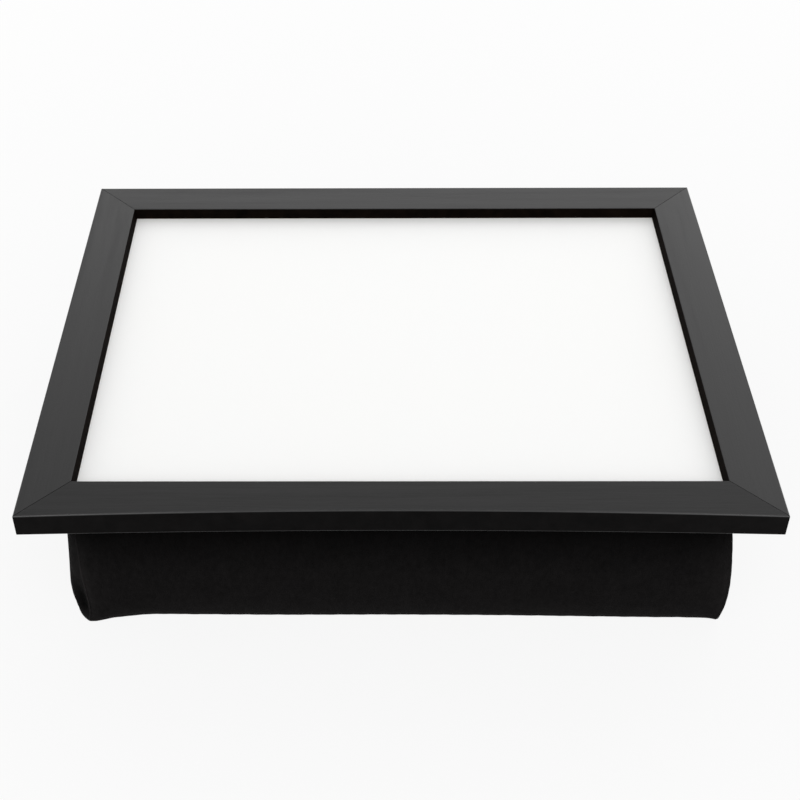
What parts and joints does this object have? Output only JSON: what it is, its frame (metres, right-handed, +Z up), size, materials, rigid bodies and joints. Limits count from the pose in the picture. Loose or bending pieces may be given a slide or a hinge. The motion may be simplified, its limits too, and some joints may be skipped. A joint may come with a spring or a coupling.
{
  "type": "breakfast tray",
  "caption": "Lap tray: a mitred black frame with a recessed white panel, held by hook and loop on a black bead cushion with a zip in its back.",
  "frame": {"origin": "on the surface the cushion stands on, under the middle of the tray", "axes": "+X along the tray's long side, to the right from the front; +Y from the front rail to the back rail; +Z up"},
  "size_m": [0.46, 0.36, 0.11],
  "materials": {
    "rail_lacquer": "satin",
    "steel": "satin",
    "melamine": "satin",
    "fibreboard": "matte",
    "hardboard": "matte",
    "hook_tape": "matte",
    "loop_tape": "matte",
    "cover_cloth": "matte",
    "liner_cloth": "matte",
    "zip_tape": "matte",
    "zip_nylon": "satin",
    "zip_enamel": "gloss"
  },
  "bodies": {
    "cushion": {"cushion_cover": "cover_cloth", "bead_liner": "liner_cloth", "loop_strip_front_left": "loop_tape", "loop_strip_front_right": "loop_tape", "loop_strip_back_left": "loop_tape", "loop_strip_back_right": "loop_tape", "zip_tape_upper": "zip_tape", "zip_tape_lower": "zip_tape", "zip_coil_upper": "zip_nylon", "zip_coil_lower": "zip_nylon", "zip_top_stop_upper": "zip_enamel", "zip_top_stop_lower": "zip_enamel", "zip_bottom_stop": "zip_enamel"},
    "tray": {"rail_front": "rail_lacquer", "rail_back": "rail_lacquer", "rail_left": "rail_lacquer", "rail_right": "rail_lacquer", "corner_wedge_front_left_outer": "steel", "corner_wedge_front_left_inner": "steel", "corner_wedge_front_right_outer": "steel", "corner_wedge_front_right_inner": "steel", "corner_wedge_back_left_outer": "steel", "corner_wedge_back_left_inner": "steel", "corner_wedge_back_right_outer": "steel", "corner_wedge_back_right_inner": "steel", "laminate_face": "melamine", "panel_board": "fibreboard", "backing_board": "hardboard", "tab_front_1": "steel", "tab_front_2": "steel", "tab_front_3": "steel", "tab_back_1": "steel", "tab_back_2": "steel", "tab_back_3": "steel", "tab_left_1": "steel", "tab_left_2": "steel", "tab_right_1": "steel", "tab_right_2": "steel", "hook_strip_front_left": "hook_tape", "hook_strip_front_right": "hook_tape", "hook_strip_back_left": "hook_tape", "hook_strip_back_right": "hook_tape"},
    "zip_slider": {"zip_slider": "zip_enamel"},
    "zip_pull": {"zip_pull": "zip_enamel"}
  },
  "joints": [
    {"name": "tray_lift", "type": "slide", "parent": "cushion", "child": "tray", "axis": [0, 0, 1], "range_m": [0, 0.15]},
    {"name": "zip_slide", "type": "slide", "parent": "cushion", "child": "zip_slider", "axis": [1, 0, 0], "range_m": [0, 0.269]},
    {"name": "zip_pull_swing", "type": "hinge", "parent": "zip_slider", "child": "zip_pull", "pos_m": [-0.1345, 0.16331, 0.0766], "axis": [0, 0, 1], "range_deg": [0, 180]}
  ]
}
